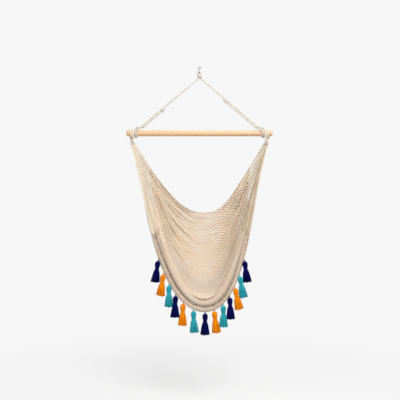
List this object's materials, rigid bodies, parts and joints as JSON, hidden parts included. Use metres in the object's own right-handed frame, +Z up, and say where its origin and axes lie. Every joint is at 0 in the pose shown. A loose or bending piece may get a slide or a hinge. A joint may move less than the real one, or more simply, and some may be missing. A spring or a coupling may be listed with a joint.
{
  "type": "hammock chair",
  "caption": "Hanging net chair: a gathered rope-mesh sling on a round wooden spreader bar, hung by rope from one steel hook, with yarn tassels along its front edge.",
  "frame": {"origin": "hang point, the inner top of the upper bend of the hook", "axes": "+Z up, -Y towards the front that the sitter faces, +X to the right as seen from the front"},
  "size_m": [0.914, 0.4781, 1.6423],
  "materials": {
    "steel": "zinc-plated wire, dull",
    "rope": "laid cotton rope, off-white",
    "cord": "twisted cotton cord, cream",
    "net": "soft-spun cotton net, cream",
    "wood": "pale hardwood, clear satin",
    "navy_yarn": "cotton yarn, matt",
    "orange_yarn": "cotton yarn, matt",
    "teal_yarn": "cotton yarn, matt"
  },
  "bodies": {
    "hook": {"hanging_hook": "steel"},
    "loop": {"hanging_loop": "rope", "loop_tail": "rope"},
    "throat": {"apex_whipping": "cord"},
    "suspension": {"left_rope": "rope", "left_rope_seizing": "cord", "right_rope": "rope", "right_rope_seizing": "cord", "spreader_bar": "wood"},
    "sling": {"left_sling_eye": "cord", "right_sling_eye": "cord", "left_neck_binding": "cord", "right_neck_binding": "cord", "left_end_cords_1": "cord", "left_end_cords_2": "cord", "left_end_cords_3": "cord", "left_end_cords_4": "cord", "right_end_cords_1": "cord", "right_end_cords_2": "cord", "right_end_cords_3": "cord", "right_end_cords_4": "cord", "seat_net": "net", "back_edge_rope": "cord", "front_edge_rope": "cord"},
    "tassel_01_body": {"tassel_01": "navy_yarn", "tassel_01_tie": "navy_yarn"},
    "tassel_02_body": {"tassel_02": "orange_yarn", "tassel_02_tie": "orange_yarn"},
    "tassel_03_body": {"tassel_03": "teal_yarn", "tassel_03_tie": "teal_yarn"},
    "tassel_04_body": {"tassel_04": "navy_yarn", "tassel_04_tie": "navy_yarn"},
    "tassel_05_body": {"tassel_05": "orange_yarn", "tassel_05_tie": "orange_yarn"},
    "tassel_06_body": {"tassel_06": "teal_yarn", "tassel_06_tie": "teal_yarn"},
    "tassel_07_body": {"tassel_07": "navy_yarn", "tassel_07_tie": "navy_yarn"},
    "tassel_08_body": {"tassel_08": "orange_yarn", "tassel_08_tie": "orange_yarn"},
    "tassel_09_body": {"tassel_09": "teal_yarn", "tassel_09_tie": "teal_yarn"},
    "tassel_10_body": {"tassel_10": "navy_yarn", "tassel_10_tie": "navy_yarn"},
    "tassel_11_body": {"tassel_11": "orange_yarn", "tassel_11_tie": "orange_yarn"},
    "tassel_12_body": {"tassel_12": "teal_yarn", "tassel_12_tie": "teal_yarn"},
    "tassel_13_body": {"tassel_13": "navy_yarn", "tassel_13_tie": "navy_yarn"}
  },
  "joints": [
    {"name": "sway", "type": "hinge", "parent": "hook", "child": "loop", "pos_m": [0, 0, -0.04205], "axis": [0, 1, 0], "range_deg": [-25, 25]},
    {"name": "spin", "type": "hinge", "parent": "loop", "child": "throat", "pos_m": [0, 0, -0.0612], "axis": [0, 0, 1], "range_deg": [-90, 90]},
    {"name": "swing", "type": "hinge", "parent": "throat", "child": "suspension", "pos_m": [0, 0, -0.0703], "axis": [1, 0, 0], "range_deg": [-35, 35]},
    {"name": "seat_tilt", "type": "hinge", "parent": "suspension", "child": "sling", "pos_m": [0, 0, -0.415], "axis": [1, 0, 0], "range_deg": [-40, 40]},
    {"name": "tassel_01_swing", "type": "hinge", "parent": "sling", "child": "tassel_01_body", "pos_m": [-0.24923, -0.13585, -1.196], "axis": [-1, 0, 0], "range_deg": [0, 40]},
    {"name": "tassel_02_swing", "type": "hinge", "parent": "sling", "child": "tassel_02_body", "pos_m": [-0.21656, -0.14933, -1.27592], "axis": [-1, 0, 0], "range_deg": [0, 40]},
    {"name": "tassel_03_swing", "type": "hinge", "parent": "sling", "child": "tassel_03_body", "pos_m": [-0.18293, -0.1602, -1.34077], "axis": [-1, 0, 0], "range_deg": [0, 40]},
    {"name": "tassel_04_swing", "type": "hinge", "parent": "sling", "child": "tassel_04_body", "pos_m": [-0.14295, -0.17044, -1.40173], "axis": [-1, 0, 0], "range_deg": [0, 40]},
    {"name": "tassel_05_swing", "type": "hinge", "parent": "sling", "child": "tassel_05_body", "pos_m": [-0.09837, -0.17845, -1.45005], "axis": [-1, 0, 0], "range_deg": [-40, 40]},
    {"name": "tassel_06_swing", "type": "hinge", "parent": "sling", "child": "tassel_06_body", "pos_m": [-0.03609, -0.18517, -1.49077], "axis": [-1, 0, 0], "range_deg": [-40, 40]},
    {"name": "tassel_07_swing", "type": "hinge", "parent": "sling", "child": "tassel_07_body", "pos_m": [0.0341, -0.18746, -1.50459], "axis": [-1, 0, 0], "range_deg": [-40, 40]},
    {"name": "tassel_08_swing", "type": "hinge", "parent": "sling", "child": "tassel_08_body", "pos_m": [0.08834, -0.18552, -1.49283], "axis": [-1, 0, 0], "range_deg": [-40, 40]},
    {"name": "tassel_09_swing", "type": "hinge", "parent": "sling", "child": "tassel_09_body", "pos_m": [0.14126, -0.17993, -1.45859], "axis": [-1, 0, 0], "range_deg": [-40, 40]},
    {"name": "tassel_10_swing", "type": "hinge", "parent": "sling", "child": "tassel_10_body", "pos_m": [0.18128, -0.17209, -1.41158], "axis": [-1, 0, 0], "range_deg": [0, 40]},
    {"name": "tassel_11_swing", "type": "hinge", "parent": "sling", "child": "tassel_11_body", "pos_m": [0.21253, -0.16297, -1.35674], "axis": [-1, 0, 0], "range_deg": [0, 40]},
    {"name": "tassel_12_swing", "type": "hinge", "parent": "sling", "child": "tassel_12_body", "pos_m": [0.24184, -0.15136, -1.28775], "axis": [-1, 0, 0], "range_deg": [0, 40]},
    {"name": "tassel_13_swing", "type": "hinge", "parent": "sling", "child": "tassel_13_body", "pos_m": [0.27135, -0.13605, -1.19673], "axis": [-1, 0, 0], "range_deg": [0, 40]}
  ]
}
